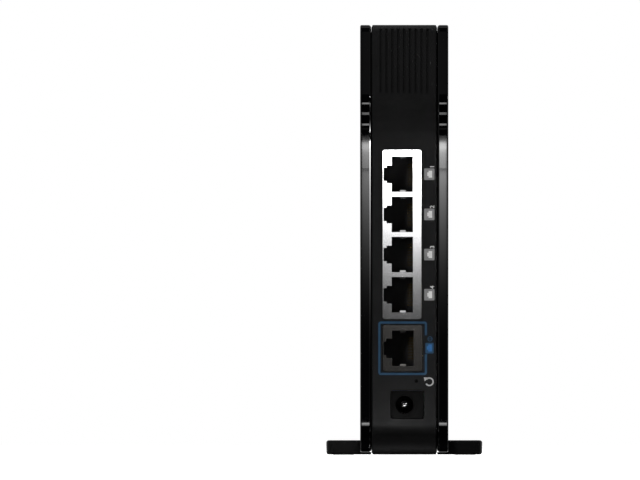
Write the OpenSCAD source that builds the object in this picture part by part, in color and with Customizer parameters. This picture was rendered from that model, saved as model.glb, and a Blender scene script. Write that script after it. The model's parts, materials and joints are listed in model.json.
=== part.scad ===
// Upright wireless router on a two-winged stand. Two glossy side shells hold a matt band
// that carries the sockets at the rear, the vents at the top and the lamps at the front.
// X runs across the case, +Y towards the sockets, +Z up. Z = 0 is the surface it stands on.

/* [Case] */
// Height from the surface to the flat top
case_height = 149.5; // [146:0.5:156]
// Width across the two side shells
case_width = 30.7; // [30:0.1:33]
// Depth from the bowed front to the head
case_depth = 118; // [116:1:124]
// Thickness of the moulded walls
wall = 2; // [1.6:0.1:2.2]
// Half width of the matt band between the shells
band_half = 11.4; // [11.2:0.1:11.6]
// Height of the band's underside above the surface
band_base = 0.15; // [0.1:0.05:0.2]
// Height of the shells' underside above the surface
shell_base = 1; // [0.9:0.1:1.2]
// Rounding of the shells' outer edges
edge_r = 0.55; // [0.3:0.05:0.8]

/* [Side profile] */
// How far the head stands out behind the socket panel
head_overhang = 4.5; // [3:0.5:6]
// Height of the middle of the neck
neck_z = 118.7; // [118:0.1:120]
// Height of the neck's double curve
neck_height = 13.4; // [12:0.2:14]
// Rounding of the head's top rear edge
top_r = 2.4; // [2.3:0.1:4]
// Rounding of the top front corner
brow_r = 9; // [6:1:12]
// Rounding of the bottom front corner
chin_r = 6; // [4:1:8]
// Radius of the bowed front
bow_r = 860; // [700:20:1200]
// Radius where the socket panel turns under
under_r = 5.5; // [5:0.25:6]
// Angle of that turn
under_turn = 50; // [45:1:55]
// Radius of the hollow above the heel
waist_r = 3.2; // [3:0.1:3.4]
// Height of the hollow's deepest point
waist_z = 4.46; // [4.3:0.02:4.6]
// Rounding of the heel
lip_r = 1.2; // [1.15:0.05:1.3]

/* [Vents] */
// Number of upright grooves on the head
groove_count = 9; // [5:2:9]
// Spacing of the grooves
groove_pitch = 2.03; // [1.9:0.01:2.2]
// Width of a groove
groove_w = 0.9; // [0.6:0.1:1.1]
// Depth of a groove
groove_depth = 0.6; // [0.5:0.1:1.2]

/* [Sockets] */
// Spacing of the network ports
port_pitch = 13.97; // [13.97:0.01:14.1]
// Height of the middle of the four network ports
lan_z = 76.67; // [76:0.1:77.5]
// Height of the uplink port
wan_z = 37.1; // [36.9:0.1:37.3]
// Height of a port's opening
port_h = 12.34; // [12:0.02:12.4]
// Height of the power socket's hole
dc_z = 17.5; // [17.4:0.05:17.6]
// Radius of the power socket's hole
dc_r = 3.1; // [2.9:0.05:3.2]
// Radius of the power socket's centre pin
dc_pin_r = 1.05; // [0.95:0.05:1.05]
// Height of the reset pinhole
reset_z = 25.7; // [25.6:0.05:25.8]
// Radius of the reset pinhole
reset_r = 0.6; // [0.5:0.05:0.7]

/* [Stand] */
// Width across the two wings
stand_width = 54.3; // [50:0.5:60]
// Front-to-back length of a wing
stand_depth = 96; // [88:1:98]
// Height of a wing's upper face
stand_height = 5.1; // [4.6:0.1:6]

/* [Front] */
// Height of the connect button
button_z = 122; // [121:0.5:123]
// Radius of the connect button
button_r = 3.9; // [3.5:0.1:4.2]
// Number of status lamps
lamp_count = 6; // [4:1:6]
// Spacing of the status lamps
lamp_pitch = 8; // [7:0.5:8]

/* [Hidden] */
$fn = 48;

half_w = case_width / 2;
head_y = case_depth / 2;
front_y = -case_depth / 2;
panel_y = head_y - head_overhang;
inner_y = panel_y - wall;
seam_gap = 0.1;
seam_depth = 1;
shell_bevel = 0.75;
band_bevel = 0.45;
cut = 1;

gloss_black = [0.03, 0.03, 0.035];
matt_black = [0.1, 0.1, 0.105];
socket_black = [0.04, 0.04, 0.045];
board_green = [0.05, 0.25, 0.12];
bright_metal = [0.78, 0.78, 0.8];
dark_metal = [0.3, 0.29, 0.28];
gold = [0.85, 0.66, 0.28];

// ---- Placing helpers ----

// A flat outline drawn as (y, z), filling x0 to x1
module across(x0, x1) translate([x0, 0, 0]) rotate([90, 0, 90]) linear_extrude(x1 - x0) children();

// A flat outline drawn as (x, z), filling y0 to y1
module through(y0, y1) translate([0, y1, 0]) rotate([90, 0, 0]) linear_extrude(y1 - y0) children();

module block(low, high) translate(low) cube(high - low);

module rod_x(y, z, r, x0, x1) translate([x0, y, z]) rotate([0, 90, 0]) cylinder(r = r, h = x1 - x0);

module rod_y(x, z, r, y0, y1) translate([x, y1, z]) rotate([90, 0, 0]) cylinder(r = r, h = y1 - y0);

module rod_z(x, y, r, z0, z1) translate([x, y, z0]) cylinder(r = r, h = z1 - z0);

function arc(c, r, from, to, n) =
    [for (i = [0 : n]) let (a = from + (to - from) * i / n) c + r * [cos(a), sin(a)]];

// The same arc without its first point, for one that carries on from another
function arc_on(c, r, from, to, n) =
    [for (i = [1 : n]) let (a = from + (to - from) * i / n) c + r * [cos(a), sin(a)]];

function round_rect(x0, z0, x1, z1, r) = concat(
    arc([x1 - r, z0 + r], r, -90, 0, 3), arc([x1 - r, z1 - r], r, 0, 90, 3),
    arc([x0 + r, z1 - r], r, 90, 180, 3), arc([x0 + r, z0 + r], r, 180, 270, 3));

// A point inside a ring, low enough that the neck and the heel don't hide any of the ring from it
function hub(ring) = [for (k = [0 : 2])
    let (v = [for (p = ring) p[k]]) min(v) + 0.3 * (max(v) - min(v))];

// A closed solid through a stack of rings that all have the same number of points. Each end is a
// fan of triangles round the hub of its ring.
module loft(rings) {
    n = len(rings[0]);
    last = len(rings) - 1;
    low_hub = (last + 1) * n;
    sides = [for (k = [0 : last - 1], i = [0 : n - 1])
        let (j = (i + 1) % n) [k * n + i, (k + 1) * n + i, (k + 1) * n + j, k * n + j]];
    low_end = [for (i = [0 : n - 1]) [low_hub, i, (i + 1) % n]];
    high_end = [for (i = [0 : n - 1]) [low_hub + 1, last * n + (i + 1) % n, last * n + i]];
    points = concat([for (ring = rings) each ring], [hub(rings[0]), hub(rings[last])]);
    polyhedron(points, concat(low_end, sides, high_end));
}

// ---- Side profile of the case, as (y, z) points going up the rear and down the front ----

neck_turn = 2 * atan(head_overhang / neck_height);
neck_r = (neck_height * neck_height + head_overhang * head_overhang) / (4 * head_overhang);
neck_low = [panel_y + neck_r, neck_z - neck_height / 2];
neck_high = [head_y - neck_r, neck_z + neck_height / 2];
under = [panel_y - under_r, waist_z + (waist_r + under_r) * sin(under_turn)];
waist = under + (waist_r + under_r) * [cos(under_turn), -sin(under_turn)];
top_rear = [head_y - top_r, case_height - top_r];
bow = [front_y + bow_r, case_height / 2];

function lip_turn(base) = asin((waist_z - base - lip_r) / (waist_r + lip_r));
function lip(base) = waist - (waist_r + lip_r) * [cos(lip_turn(base)), sin(lip_turn(base))];

// A front corner of radius r at height z, and the bow's angle where it meets that corner
function corner_turn(r, z) = asin(abs(z - bow[1]) / (bow_r - r));
function corner(r, z) = [bow[0] - (bow_r - r) * cos(corner_turn(r, z)), z];

// The profile moved inwards by d, with its underside at base + d
function heel(d, base) = d < lip_r
    ? concat(arc(lip(base), lip_r - d, -90, lip_turn(base), 4),
        arc_on(waist, waist_r + d, 180 + lip_turn(base), 180 - under_turn, 8))
    : concat([[waist[0] - waist_r - d, base + d]], arc(waist, waist_r + d, 180, 180 - under_turn, 5));

function profile(d, base) =
    let (brow_turn = corner_turn(brow_r, case_height - brow_r),
        chin_turn = corner_turn(chin_r, base + chin_r))
    concat(heel(d, base),
        arc_on(under, under_r - d, -under_turn, 0, 7),
        arc(neck_low, neck_r + d, 180, 180 - neck_turn, 9),
        arc_on(neck_high, neck_r - d, -neck_turn, 0, 9),
        arc(top_rear, top_r - d, 0, 90, 5),
        arc(corner(brow_r, case_height - brow_r), brow_r - d, 90, 180 - brow_turn, 9),
        arc_on(bow, bow_r - d, 180 - brow_turn, 180 + chin_turn, 9),
        arc_on(corner(chin_r, base + chin_r), chin_r - d, 180 + chin_turn, 270, 6));

function ring(x, d, base) = [for (p = profile(d, base)) [x, p[0], p[1]]];

// ---- Side shells ----

hook_w = 6;
hook_t = 1.3;
hook_reach = 8.6;
foot_screw_y = 34;
tongue_x = 13.5;

// One snap hook, low corner of its foot at (y, z)
module hook(y, z, dy, dz) block([hook_reach, y, z], [half_w - wall + 0.2, y + dy, z + dz]);

module side_shell() {
    seam_x = band_half + seam_gap;
    flat_x = seam_x + shell_bevel;
    round_x = half_w - edge_r;
    edge_rings = [for (a = [0 : 22.5 : 90]) ring(round_x + edge_r * sin(a), edge_r * (1 - cos(a)), shell_base)];
    difference() {
        loft(concat([ring(seam_x, seam_depth, shell_base), ring(flat_x, 0, shell_base)], edge_rings));
        across(seam_x - cut, half_w - wall) polygon(profile(wall, shell_base));
        for (y = [-foot_screw_y, foot_screw_y])
            rod_z(tongue_x, y, screw_hole_r, 0, shell_base + wall - 0.1);
    }
    for (y = [-36, 36]) {
        hook(y, case_height - wall - 0.2 - hook_t, hook_w, hook_t);
        hook(y, shell_base + wall + 0.2, hook_w, hook_t);
    }
    for (z = [62, 92])
        hook(front_y + wall + 0.9, z, hook_t, hook_w);
}

module left_side_shell() color(gloss_black) mirror([1, 0, 0]) side_shell();

module right_side_shell() color(gloss_black) side_shell();

// ---- Matt band, in four covers ----

chassis_x = -11.3;
chassis_t = 1.2;
lug_x = chassis_x + chassis_t + 0.1;
lug_t = 1.4;
lug_r = 4;
screw_r = 0.8;
screw_hole_r = 0.86;
rear_screws = [[45, 30], [45, 95]];
top_screws = [[-20, 134.5], [28, 134.5]];
front_screws = [[-46, 45], [-46, 108]];
bottom_screws = [[-25, 11], [25, 11]];
case_screw_places = concat(rear_screws, top_screws, front_screws, bottom_screws);

rear_split_y = 40;
top_split_y = 49;
front_split_y = -45;
split_gap = 0.1;

module band() difference() {
    loft([ring(-band_half, seam_depth - 0.1, band_base), ring(-band_half + band_bevel, 0, band_base),
        ring(band_half - band_bevel, 0, band_base), ring(band_half, seam_depth - 0.1, band_base)]);
    across(-band_half - cut, band_half + cut) polygon(profile(wall, band_base));
}

// The part of the band within the area that the children draw as (y, z)
module band_part() intersection() {
    band();
    across(-half_w, half_w) children();
}

function rect(y0, z0, y1, z1) = [[y0, z0], [y1, z0], [y1, z1], [y0, z1]];

// A flat lug behind the board, from low to high corner, with a screw hole at each place
module lug(low, high, place) difference() {
    block([lug_x, low[0], low[1]], [lug_x + lug_t, high[0], high[1]]);
    rod_x(place[0], place[1], screw_hole_r, lug_x - cut, lug_x + lug_t + cut);
}

window_fit = 0.15;
lan_box = [-5.95, 47.25, 7.5, 106.1];
wan_box = [-6.3, 29.1, 7.46, 45.1];
dc_box = [-6.83, 12.66, 4.68, 22.25];
jack_corner_r = 0.8;
reset_x = -4.2;

module window(box) through(inner_y - cut, panel_y + cut)
    polygon(round_rect(box[0] - window_fit, box[1] - window_fit, box[2] + window_fit, box[3] + window_fit,
        jack_corner_r + window_fit));

module rear_cover() color(matt_black) {
    groove_bottom_z = 125.8;
    groove_top_z = case_height - 1.3;
    difference() {
        band_part() polygon([
            [rear_split_y, -cut], [head_y + cut, -cut], [head_y + cut, case_height + cut],
            [top_split_y, case_height + cut], [top_split_y, case_height / 2], [rear_split_y, case_height / 2]]);
        window(lan_box);
        window(wan_box);
        window(dc_box);
        rod_y(reset_x, reset_z, reset_r, inner_y - cut, panel_y + cut);
        for (i = [0 : groove_count - 1]) {
            x = (i - (groove_count - 1) / 2) * groove_pitch;
            block([x - groove_w / 2, head_y - groove_depth, groove_bottom_z],
                [x + groove_w / 2, head_y + cut, groove_top_z]);
        }
    }
    for (p = rear_screws)
        lug([p[0] - lug_r, p[1] - lug_r], [inner_y + 0.5, p[1] + lug_r], p);
}

module top_cover() color(matt_black) {
    slot_rows = 3;
    slot_l = 22;
    slot_gap = 4;
    slot_w = 1;
    first_y = 2 - (slot_rows * slot_l + (slot_rows - 1) * slot_gap) / 2;
    difference() {
        band_part() polygon(rect(front_split_y + split_gap, case_height - 2 * wall,
            top_split_y - split_gap, case_height + cut));
        for (i = [0 : groove_count - 1], k = [0 : slot_rows - 1]) {
            x = (i - (groove_count - 1) / 2) * groove_pitch;
            y = first_y + k * (slot_l + slot_gap);
            block([x - slot_w / 2, y, case_height - wall - cut], [x + slot_w / 2, y + slot_l, case_height + cut]);
        }
    }
    for (p = top_screws)
        lug([p[0] - lug_r, p[1] - lug_r], [p[0] + lug_r, case_height - wall + 0.5], p);
}

lamp_w = 2;
lamp_h = 3;
lamp_mid_z = 78;
front_fit = 0.2;
lamp_z = [for (i = [0 : lamp_count - 1]) lamp_mid_z + (i - (lamp_count - 1) / 2) * lamp_pitch];

module front_cover() color(gloss_black) {
    difference() {
        band_part() polygon([
            [front_y - cut, -cut], [-rear_split_y, -cut], [-rear_split_y, case_height / 2],
            [front_split_y, case_height / 2], [front_split_y, case_height + cut], [front_y - cut, case_height + cut]]);
        rod_y(0, button_z, button_r + front_fit, front_y - cut, front_y + 2 * wall);
        for (z = lamp_z)
            block([-lamp_w / 2 - front_fit / 2, front_y - cut, z - lamp_h / 2 - front_fit / 2],
                [lamp_w / 2 + front_fit / 2, front_y + 2 * wall, z + lamp_h / 2 + front_fit / 2]);
    }
    for (p = front_screws)
        lug([front_y + wall, p[1] - lug_r], [p[0] + lug_r, p[1] + lug_r], p);
}

module bottom_cover() color(matt_black) {
    slots = 9;
    slot_pitch = 3;
    slot_w = 1.4;
    slot_half = 8;
    difference() {
        band_part() polygon(rect(-rear_split_y + split_gap, -cut, rear_split_y - split_gap, 2 * wall));
        for (i = [0 : slots - 1]) {
            y = 6 + i * slot_pitch;
            block([-slot_half, y, -cut], [slot_half, y + slot_w, band_base + wall + cut]);
        }
    }
    for (p = bottom_screws)
        lug([p[0] - lug_r, band_base + wall - 0.5], [p[0] + lug_r, p[1] + lug_r], p);
}

module rating_label() color("white") {
    label_t = 0.08;
    block([-8, -34, band_base - label_t], [8, -2, band_base]);
}

// ---- Stand ----

wing_fit = 0.05;
wing_edge = 0.8;
wing_corner = 2;
tongue_inset = 6;
pad_half_w = 3.5;
pad_half_l = 9;
pad_y = 32;
pad_depth = 0.9;
wing_mid_x = (half_w + stand_width / 2) / 2;

// Plan of a wing moved inwards by d on its three outer sides
function wing_plan(d) = concat(
    [[half_w + wing_fit, -stand_depth / 2 + d]],
    arc([stand_width / 2 - wing_corner, -stand_depth / 2 + wing_corner], wing_corner - d, -90, 0, 6),
    arc([stand_width / 2 - wing_corner, stand_depth / 2 - wing_corner], wing_corner - d, 0, 90, 6),
    [[half_w + wing_fit, stand_depth / 2 - d]]);

function wing_ring(z, d) = [for (p = wing_plan(d)) [p[0], p[1], z]];

module foot() {
    steps = [0 : 30 : 90];
    low = [for (a = steps) wing_ring(band_base + wing_edge * (1 - cos(a)), wing_edge * (1 - sin(a)))];
    high = [for (a = steps) wing_ring(stand_height - wing_edge * (1 - sin(a)), wing_edge * (1 - cos(a)))];
    tongue_top = shell_base - wing_fit;
    difference() {
        union() {
            loft(concat(low, high));
            block([band_half + 0.2, -stand_depth / 2 + tongue_inset, band_base],
                [half_w + 1, stand_depth / 2 - tongue_inset, tongue_top]);
        }
        for (y = [-pad_y, pad_y])
            block([wing_mid_x - pad_half_w - wing_fit, y - pad_half_l - wing_fit, -cut],
                [wing_mid_x + pad_half_w + wing_fit, y + pad_half_l + wing_fit, pad_depth + wing_fit]);
        for (y = [-foot_screw_y, foot_screw_y]) {
            rod_z(tongue_x, y, screw_r + 0.15, -cut, tongue_top + cut);
            rod_z(tongue_x, y, foot_head_r + 0.1, -cut, band_base + foot_head_t + 0.05);
        }
    }
}

module left_foot() color(gloss_black) mirror([1, 0, 0]) foot();

module right_foot() color(gloss_black) foot();

module foot_pads() color([0.08, 0.08, 0.08]) {
    for (side = [-1, 1], y = [-pad_y, pad_y])
        translate([side * wing_mid_x, y, 0])
            linear_extrude(pad_depth)
                polygon(round_rect(-pad_half_w, -pad_half_l, pad_half_w, pad_half_l, 1.5));
}

foot_head_r = 1.6;
foot_head_t = 0.35;

module foot_screws() color(bright_metal) {
    for (side = [-1, 1], y = [-foot_screw_y, foot_screw_y]) {
        rod_z(side * tongue_x, y, foot_head_r, band_base, band_base + foot_head_t);
        rod_z(side * tongue_x, y, screw_r, band_base + foot_head_t, shell_base + wall - 0.3);
    }
}

// ---- Chassis plate and main board ----

board_x = -8.45;
board_t = 1.6;
board_face = board_x + board_t;
board_low = [-49.5, 12.5];
board_high = [51, 128];
standoffs = [[-42, 20], [-38, 122], [33, 16.5], [33, 122]];
standoff_r = 2.6;

module chassis_plate() color([0.16, 0.16, 0.17]) difference() {
    union() {
        block([chassis_x, -50, 6.5], [chassis_x + chassis_t, 48.5, 138]);
        for (p = standoffs)
            rod_x(p[0], p[1], standoff_r, chassis_x + chassis_t / 2, board_x);
    }
    block([chassis_x - cut, -30, 40], [chassis_x + chassis_t + cut, 26, 58]);
    block([chassis_x - cut, -30, 90], [chassis_x + chassis_t + cut, 26, 108]);
    for (p = standoffs)
        rod_x(p[0], p[1], screw_hole_r, chassis_x + 0.3, board_x + cut);
    for (p = case_screw_places)
        rod_x(p[0], p[1], screw_r + 0.2, chassis_x - cut, chassis_x + chassis_t + cut);
}

module case_screws() color(bright_metal) {
    head_r = 1.8;
    head_t = 1;
    for (p = case_screw_places) {
        rod_x(p[0], p[1], head_r, chassis_x - head_t, chassis_x);
        rod_x(p[0], p[1], screw_r, chassis_x, lug_x + lug_t - 0.2);
    }
}

module main_board() color(board_green) difference() {
    block([board_x, board_low[0], board_low[1]], [board_face, board_high[0], board_high[1]]);
    for (p = standoffs)
        rod_x(p[0], p[1], screw_r + 0.3, board_x - cut, board_face + cut);
}

module board_screws() color(bright_metal) {
    head_r = 2;
    head_t = 1.2;
    for (p = standoffs) {
        rod_x(p[0], p[1], head_r, board_face, board_face + head_t);
        rod_x(p[0], p[1], screw_r, chassis_x + 0.5, board_face);
    }
}

// A chip with its low corner at (y, z), standing off the board face by rise
module chip(y, z, dy, dz, t, rise = 0) block([board_face + rise, y, z], [board_face + rise + t, y + dy, z + dz]);

// ---- Network jacks ----

sheet = 0.3;
jack_proud = 0.25;
jack_depth = 16;
jack_face_y = panel_y + jack_proud;
jack_back_y = jack_face_y - jack_depth;
cavity_y = jack_face_y - 12.5;
jack_fit = 0.05;
contact_pitch = 1.02;
contact_w = 0.4;
contact_window = 4.3;
port_half = port_h / 2;
tab_x = [-0.5, 1.5];
lan_centres = [for (i = [0 : 3]) lan_z + (1.5 - i) * port_pitch];

// Port outlines: the opening's low and high x, the latch shoulder and the latch's end,
// then the half heights of the two latch steps
lan_port = [-3.02, 4.38, 6.15, 3.1, 2.33];
wan_port = [-3.23, 4.27, 6.3, 3.4, 2.35];

function port_points(port, end, z) = [
    [port[0], z - port_half], [port[1], z - port_half], [port[1], z - port[3]], [port[2], z - port[3]],
    [port[2], z - port[4]], [end, z - port[4]], [end, z + port[4]], [port[2], z + port[4]],
    [port[2], z + port[3]], [port[1], z + port[3]], [port[1], z + port_half], [port[0], z + port_half]];

// A grounding spring at the edge of an opening: it rises from the sheet, folds over and dips.
// dir is +1 at the lower edge, -1 at the upper.
module spring_tab(z, dir) across(tab_x[0], tab_x[1]) polygon([
    for (p = [[0.02, -0.12], [0.02, 0.05], [0.55, 0.68], [0.8, 0.72], [2.4, 0.45], [2.4, 0.25],
        [0.85, 0.5], [0.6, 0.42], [sheet, -0.02], [sheet, -0.12]])
        [jack_face_y - p[0], z - dir * (port_half - p[1])]]);

module jack_shield(box, port, centres) {
    difference() {
        through(jack_back_y, jack_face_y) polygon(round_rect(box[0], box[1], box[2], box[3], jack_corner_r));
        block([box[0] - cut, jack_back_y - cut, box[1] + sheet],
            [box[2] - sheet, jack_face_y - sheet, box[3] - sheet]);
        for (z = centres)
            through(jack_face_y - 0.9, jack_face_y + cut) polygon(port_points(port, box[2] + cut, z));
    }
    for (z = centres) {
        spring_tab(z, 1);
        spring_tab(z, -1);
    }
}

module jack_housing(box, port, centres) difference() {
    union() {
        block([box[0] + jack_fit, jack_back_y, box[1] + sheet + jack_fit],
            [box[2] - sheet - jack_fit, jack_face_y - sheet, box[3] - sheet - jack_fit]);
        block([board_face, jack_back_y, box[1] + sheet + jack_fit],
            [box[0] + 2 * jack_fit, inner_y - 0.3, box[3] - sheet - jack_fit]);
    }
    for (z = centres) {
        through(cavity_y, jack_face_y + cut) polygon(port_points(port, box[2] + cut, z));
        block([board_face - cut, jack_back_y + 1, z - contact_window],
            [port[0] + cut / 2, jack_face_y - 1.8, z + contact_window]);
    }
}

// Eight sprung contacts: each rises from the board, runs forward and folds back into the opening
module jack_contacts(port, centres) {
    base = port[0] - 0.3;
    back = jack_back_y + 2.5;
    fold = jack_face_y - 2.1;
    side = [[board_face, back], [base, back], [base, fold - 1.1], [base + 1.95, back + 3.2],
        [base + 2.25, back + 3.3], [base + 0.2, fold], [base - 0.3, fold], [base - 0.3, back + 0.3],
        [board_face, back + 0.3]];
    for (z = centres, i = [0 : 7])
        translate([0, 0, z + (i - 3.5) * contact_pitch - contact_w / 2])
            linear_extrude(contact_w) polygon(side);
}

module lan_shield() color(bright_metal) jack_shield(lan_box, lan_port, lan_centres);

module lan_housing() color(socket_black) jack_housing(lan_box, lan_port, lan_centres);

module lan_contacts() color(gold) jack_contacts(lan_port, lan_centres);

module wan_shield() color(dark_metal) jack_shield(wan_box, wan_port, [wan_z]);

module wan_housing() color(socket_black) jack_housing(wan_box, wan_port, [wan_z]);

module wan_contacts() color(gold) jack_contacts(wan_port, [wan_z]);

// ---- Power socket ----

dc_x = -0.1;
dc_face_y = panel_y + 0.1;
dc_back_y = dc_face_y - 14;
dc_floor_y = dc_face_y - 10;
dc_base_r = 1.3;
spring_half_w = 1;
spring_slot_z = 1.3;

module dc_jack_housing() color(socket_black) {
    chamfer = 0.8;
    face = [[dc_box[0], dc_box[1] + chamfer], [dc_box[0] + chamfer, dc_box[1]],
        [dc_box[2] - chamfer, dc_box[1]], [dc_box[2], dc_box[1] + chamfer],
        [dc_box[2], dc_box[3]], [dc_box[0], dc_box[3]]];
    difference() {
        through(dc_back_y, dc_face_y) polygon(face);
        rod_y(dc_x, dc_z, dc_r, dc_floor_y, dc_face_y + cut);
        rod_y(dc_x, dc_z, dc_base_r + 0.05, dc_back_y - cut, dc_floor_y + cut);
        block([dc_x - spring_half_w - 0.1, dc_floor_y, dc_z - dc_r - spring_slot_z],
            [dc_x + spring_half_w + 0.1, dc_face_y - 1.5, dc_z]);
    }
}

module dc_centre_pin() color(bright_metal) {
    tip_h = 0.45;
    pin_end_y = dc_face_y - 0.8;
    rod_y(dc_x, dc_z, dc_base_r, dc_back_y - 0.6, dc_floor_y);
    rod_y(dc_x, dc_z, dc_pin_r, dc_floor_y, pin_end_y - tip_h);
    translate([dc_x, pin_end_y - tip_h, dc_z])
        rotate([-90, 0, 0])
            cylinder(r1 = dc_pin_r, r2 = dc_pin_r / 2, h = tip_h);
}

module dc_spring_contact() color(bright_metal) {
    low_z = dc_z - dc_r - spring_slot_z + 0.1;
    across(dc_x - spring_half_w, dc_x + spring_half_w) polygon([
        [dc_floor_y + 0.2, low_z], [dc_face_y - 1.8, low_z], [dc_face_y - 1.8, low_z + 0.3],
        [dc_floor_y + 5, low_z + 1.6], [dc_floor_y + 4.4, low_z + 1.6],
        [dc_face_y - 3.4, low_z + 0.3], [dc_floor_y + 0.2, low_z + 0.3]]);
}

// ---- Reset switch ----

reset_body_y = [42.5, 48.5];
plunger_r = 1;
plunger_fit = 0.05;
plunger_depth = 2.2;

// A side-pressed switch on the board, its plunger hole opening towards dir along Y
module switch_body(x, z, y0, y1, dir) difference() {
    block([board_face, y0, z - 3], [x + 1.9, y1, z + 3]);
    if (dir > 0)
        rod_y(x, z, plunger_r + plunger_fit, y1 - plunger_depth, y1 + cut);
    else
        rod_y(x, z, plunger_r + plunger_fit, y0 - cut, y0 + plunger_depth);
}

module reset_switch_body() color([0.2, 0.2, 0.2])
    switch_body(reset_x, reset_z, reset_body_y[0], reset_body_y[1], 1);

module reset_plunger() color([0.75, 0.72, 0.65])
    rod_y(reset_x, reset_z, plunger_r, reset_body_y[1] - plunger_depth + 0.6, inner_y - 0.8);

// ---- Connect button ----

button_face_y = front_y + 0.7;
button_flange_y = front_y + wall + 1.7;
button_flange_t = 0.9;
button_switch_y = [-49, -43.5];
button_stem_x = -3.3;
plunger_out = 2.4;

module button_cap() color([0.12, 0.12, 0.125]) {
    dish_r = 30;
    difference() {
        rod_y(0, button_z, button_r, button_face_y, button_flange_y + 0.1);
        translate([0, button_face_y - dish_r + 0.25, button_z]) sphere(r = dish_r, $fn = 96);
    }
    rod_y(0, button_z, button_r + 0.9, button_flange_y, button_flange_y + button_flange_t);
    rod_y(button_stem_x, button_z, 1.1, button_flange_y + button_flange_t / 2, button_switch_y[0] - plunger_out);
}

module button_switch_body() color([0.2, 0.2, 0.2])
    switch_body(button_stem_x, button_z, button_switch_y[0], button_switch_y[1], -1);

module button_plunger() color([0.75, 0.72, 0.65])
    rod_y(button_stem_x, button_z, plunger_r, button_switch_y[0] - plunger_out,
        button_switch_y[0] + plunger_depth - 0.8);

// ---- Status lamps ----

pipe_back_y = board_low[0] - 1.7;
pipe_bend_y = pipe_back_y - 1.8;
led_h = 1.2;
led_x = board_face + 1;

module light_pipe() color([0.85, 0.88, 0.9]) {
    pipe_face_y = front_y + 0.25;
    bar_x = led_x + 0.8;
    for (z = lamp_z)
        translate([0, 0, z - lamp_h / 2])
            linear_extrude(lamp_h)
                polygon([[board_face + 0.3, pipe_back_y], [board_face + 0.3, pipe_bend_y],
                    [-lamp_w / 2, pipe_bend_y], [-lamp_w / 2, pipe_face_y], [lamp_w / 2, pipe_face_y],
                    [lamp_w / 2, pipe_bend_y], [lamp_w / 2 - 1.8, pipe_back_y]]);
    block([board_face + 0.3, pipe_bend_y, lamp_z[0]], [bar_x, pipe_back_y, lamp_z[lamp_count - 1]]);
}

module status_leds() color([0.95, 0.95, 0.8]) {
    for (z = lamp_z)
        block([board_face, board_low[0] - 0.5, z - led_h], [board_face + 1.6, board_low[0] + 1.2, z + led_h]);
}

// ---- Parts on the board ----

soc_side = 17;
soc_y = -14;
soc_z = 66;
soc_t = 1.4;
pad_t = 0.5;
sink_side = 34;

module processor_chip() color(socket_black) chip(soc_y, soc_z, soc_side, soc_side, soc_t);

module thermal_pad() color([0.6, 0.65, 0.7]) chip(soc_y, soc_z, soc_side, soc_side, pad_t, soc_t);

module heat_sink() color(bright_metal) {
    plate_t = 2;
    fin_h = 7;
    fin_t = 1.2;
    fins = 7;
    sink_y = soc_y + (soc_side - sink_side) / 2;
    sink_z = soc_z + (soc_side - sink_side) / 2;
    rise = soc_t + pad_t;
    chip(sink_y, sink_z, sink_side, sink_side, plate_t, rise);
    for (i = [0 : fins - 1])
        chip(sink_y + i * (sink_side - fin_t) / (fins - 1), sink_z, fin_t, sink_side, fin_h, rise + plate_t - 0.1);
}

module memory_chips() color(socket_black) {
    for (y = [-22, -8])
        chip(y, 96, 8, 12.5, 1.1);
}

module flash_chip() color(socket_black) chip(-34, 60, 6, 8, 1.5);

module port_switch_chip() color(socket_black) chip(16, 73, 14, 14, 1.2);

module radio_shield_can() color(bright_metal) {
    can_h = 2.6;
    can_t = 0.25;
    difference() {
        chip(3, 92, 26, 22, can_h);
        chip(3 + can_t, 92 + can_t, 26 - 2 * can_t, 22 - 2 * can_t, can_h - can_t, -0.01);
    }
}

module line_transformers() color(socket_black) {
    for (z = [32, 46, 60])
        chip(18, z, 15, 11.5, 5.5);
}

module capacitors() color([0.12, 0.14, 0.3]) {
    for (y = [10, 22])
        rod_x(y, 22, 4, board_face, board_face + 11);
    rod_x(-36, 32, 3.2, board_face, board_face + 8);
}

module inductors() color([0.25, 0.25, 0.26]) {
    for (y = [-28, -16])
        chip(y, 18, 7.5, 7.5, 4);
}

module crystal() color(bright_metal) chip(20, 88, 5, 3.2, 1.1);

connector_z = 120;
connector_y = [-26, -12];
connector_h = 1.3;

module antenna_connectors() color(gold) {
    for (y = connector_y)
        rod_x(y, connector_z, 1.4, board_face, board_face + connector_h);
}

// ---- Antennas in the head ----

antenna_t = 0.8;
antenna_low = [4, 129.5];
antenna_high = [44, 143.5];
antenna_x = half_w - wall - 0.05;

module antenna() block([antenna_x - antenna_t, antenna_low[0], antenna_low[1]],
    [antenna_x, antenna_high[0], antenna_high[1]]);

module left_antenna() color(board_green) mirror([1, 0, 0]) antenna();

module right_antenna() color(board_green) antenna();

cable_r = 0.55;
cable_sides = 8;
cable_steps = 22;

function bezier(p, t) = pow(1 - t, 3) * p[0] + 3 * t * pow(1 - t, 2) * p[1]
    + 3 * t * t * (1 - t) * p[2] + pow(t, 3) * p[3];
function unit(v) = v / norm(v);

// A round cable along the curve of four control points
module cable(p) {
    path = [for (i = [0 : cable_steps]) bezier(p, i / cable_steps)];
    loft([for (i = [0 : cable_steps])
        let (ahead = unit(path[min(i + 1, cable_steps)] - path[max(i - 1, 0)]),
            side = unit(cross(ahead, [0, 1, 0])),
            over = cross(ahead, side))
        [for (k = [0 : cable_sides - 1]) let (a = 360 * k / cable_sides)
            path[i] + cable_r * (cos(a) * side + sin(a) * over)]]);
}

cable_start_x = board_face + connector_h + cable_r + 0.05;
cable_end_x = antenna_x - antenna_t - cable_r - 0.05;

module left_antenna_cable() color([0.15, 0.15, 0.16])
    cable([[cable_start_x, connector_y[0], connector_z], [3, -20, 138], [-4, 6, 147],
        [-cable_end_x, 14, 141.5]]);

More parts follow.
